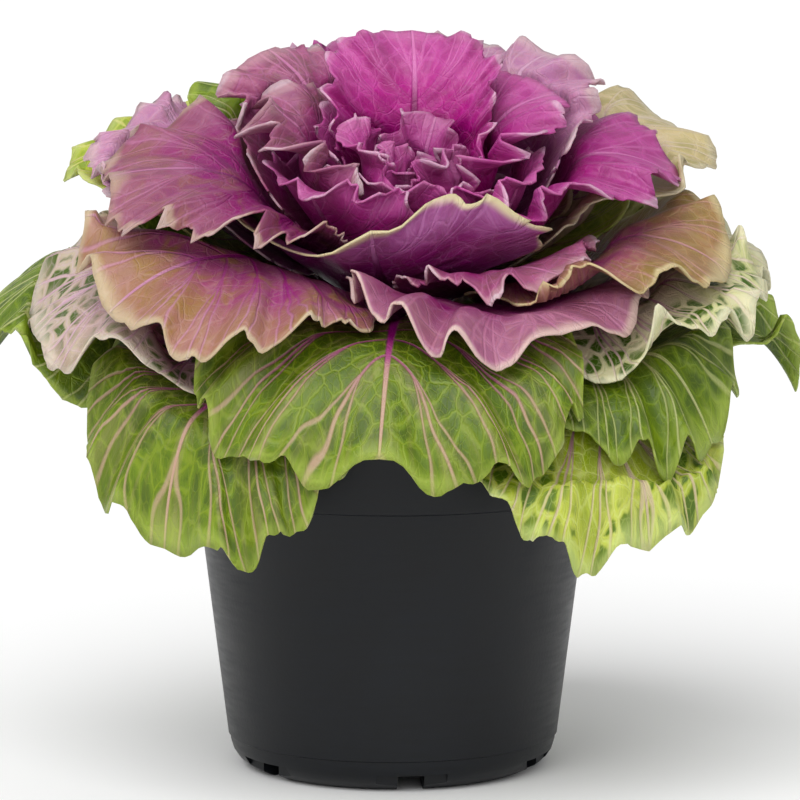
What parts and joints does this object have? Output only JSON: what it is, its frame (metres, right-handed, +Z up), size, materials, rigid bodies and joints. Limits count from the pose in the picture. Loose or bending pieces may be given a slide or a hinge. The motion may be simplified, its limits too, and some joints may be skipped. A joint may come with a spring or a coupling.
{
  "type": "potted ornamental kale",
  "caption": "Ornamental kale with a ruffled magenta heart, tan and cream middle leaves and drooping green rim leaves, in a round dark nursery pot.",
  "frame": {"origin": "on the floor, under the middle of the whole plant's outline", "axes": "+Z up; -Y is the front, towards which the head of leaves leans; +X to the right seen from the front"},
  "size_m": [0.2363, 0.1968, 0.2107],
  "materials": {
    "pot_plastic": "satin black-blue injection-moulded polypropylene",
    "soil_peat": "loose dark potting soil, peat and bark",
    "stem_bark": "matt green-brown stem",
    "heart": "waxy leaf with pale veins",
    "inner_1": "waxy leaf with pale veins",
    "inner_2": "waxy leaf with pale veins",
    "inner_3": "waxy leaf with pale veins",
    "inner_4": "waxy leaf with pale veins",
    "inner_5": "waxy leaf with pale veins",
    "inner_6": "waxy leaf with pale veins",
    "inner_7": "waxy leaf with pale veins",
    "middle_1": "waxy leaf with pale veins",
    "middle_2": "waxy leaf with pale veins",
    "middle_3": "waxy leaf with pale veins",
    "middle_4": "waxy leaf with pale veins",
    "middle_5": "waxy leaf with pale veins",
    "cup_leaf": "waxy leaf with pale veins",
    "middle_6": "waxy leaf with pale veins",
    "pink_left": "waxy leaf with pale veins",
    "cream_right": "waxy leaf with pale veins",
    "tan_back": "waxy leaf with pale veins",
    "green_back_left": "waxy leaf with pale veins",
    "tan_right": "waxy leaf with pale veins",
    "tan_left": "waxy leaf with pale veins",
    "cream_front": "waxy leaf with pale veins",
    "purple_left": "waxy leaf with pale veins",
    "lime_left": "waxy leaf with pale veins",
    "spotted_right": "waxy leaf with pale veins",
    "spotted_back_right": "waxy leaf with pale veins",
    "spotted_left": "waxy leaf with pale veins",
    "green_left": "waxy leaf with pale veins",
    "pale_right": "waxy leaf with pale veins",
    "green_front": "waxy leaf with pale veins",
    "curled_right": "waxy leaf with pale veins",
    "green_right": "waxy leaf with pale veins",
    "drooping_left": "waxy leaf with pale veins",
    "drooping_right": "waxy leaf with pale veins",
    "under_front": "waxy leaf with pale veins",
    "under_left": "waxy leaf with pale veins",
    "green_back_1": "waxy leaf with pale veins",
    "green_back_2": "waxy leaf with pale veins",
    "green_back_3": "waxy leaf with pale veins",
    "green_back_4": "waxy leaf with pale veins",
    "green_back_5": "waxy leaf with pale veins"
  },
  "bodies": {
    "root": {"pot": "pot_plastic", "soil": "soil_peat", "stem": "stem_bark", "heart": "heart", "inner_1": "inner_1", "inner_2": "inner_2", "inner_3": "inner_3", "inner_4": "inner_4", "inner_5": "inner_5", "inner_6": "inner_6", "inner_7": "inner_7", "middle_1": "middle_1", "middle_2": "middle_2", "middle_3": "middle_3", "middle_4": "middle_4", "middle_5": "middle_5", "cup_leaf": "cup_leaf", "middle_6": "middle_6", "pink_left": "pink_left", "cream_right": "cream_right", "tan_back": "tan_back", "green_back_left": "green_back_left", "tan_right": "tan_right", "tan_left": "tan_left", "cream_front": "cream_front", "purple_left": "purple_left", "lime_left": "lime_left", "spotted_right": "spotted_right", "spotted_back_right": "spotted_back_right", "spotted_left": "spotted_left", "green_left": "green_left", "pale_right": "pale_right", "green_front": "green_front", "curled_right": "curled_right", "green_right": "green_right", "drooping_left": "drooping_left", "drooping_right": "drooping_right", "under_front": "under_front", "under_left": "under_left", "green_back_1": "green_back_1", "green_back_2": "green_back_2", "green_back_3": "green_back_3", "green_back_4": "green_back_4", "green_back_5": "green_back_5"}
  },
  "joints": []
}
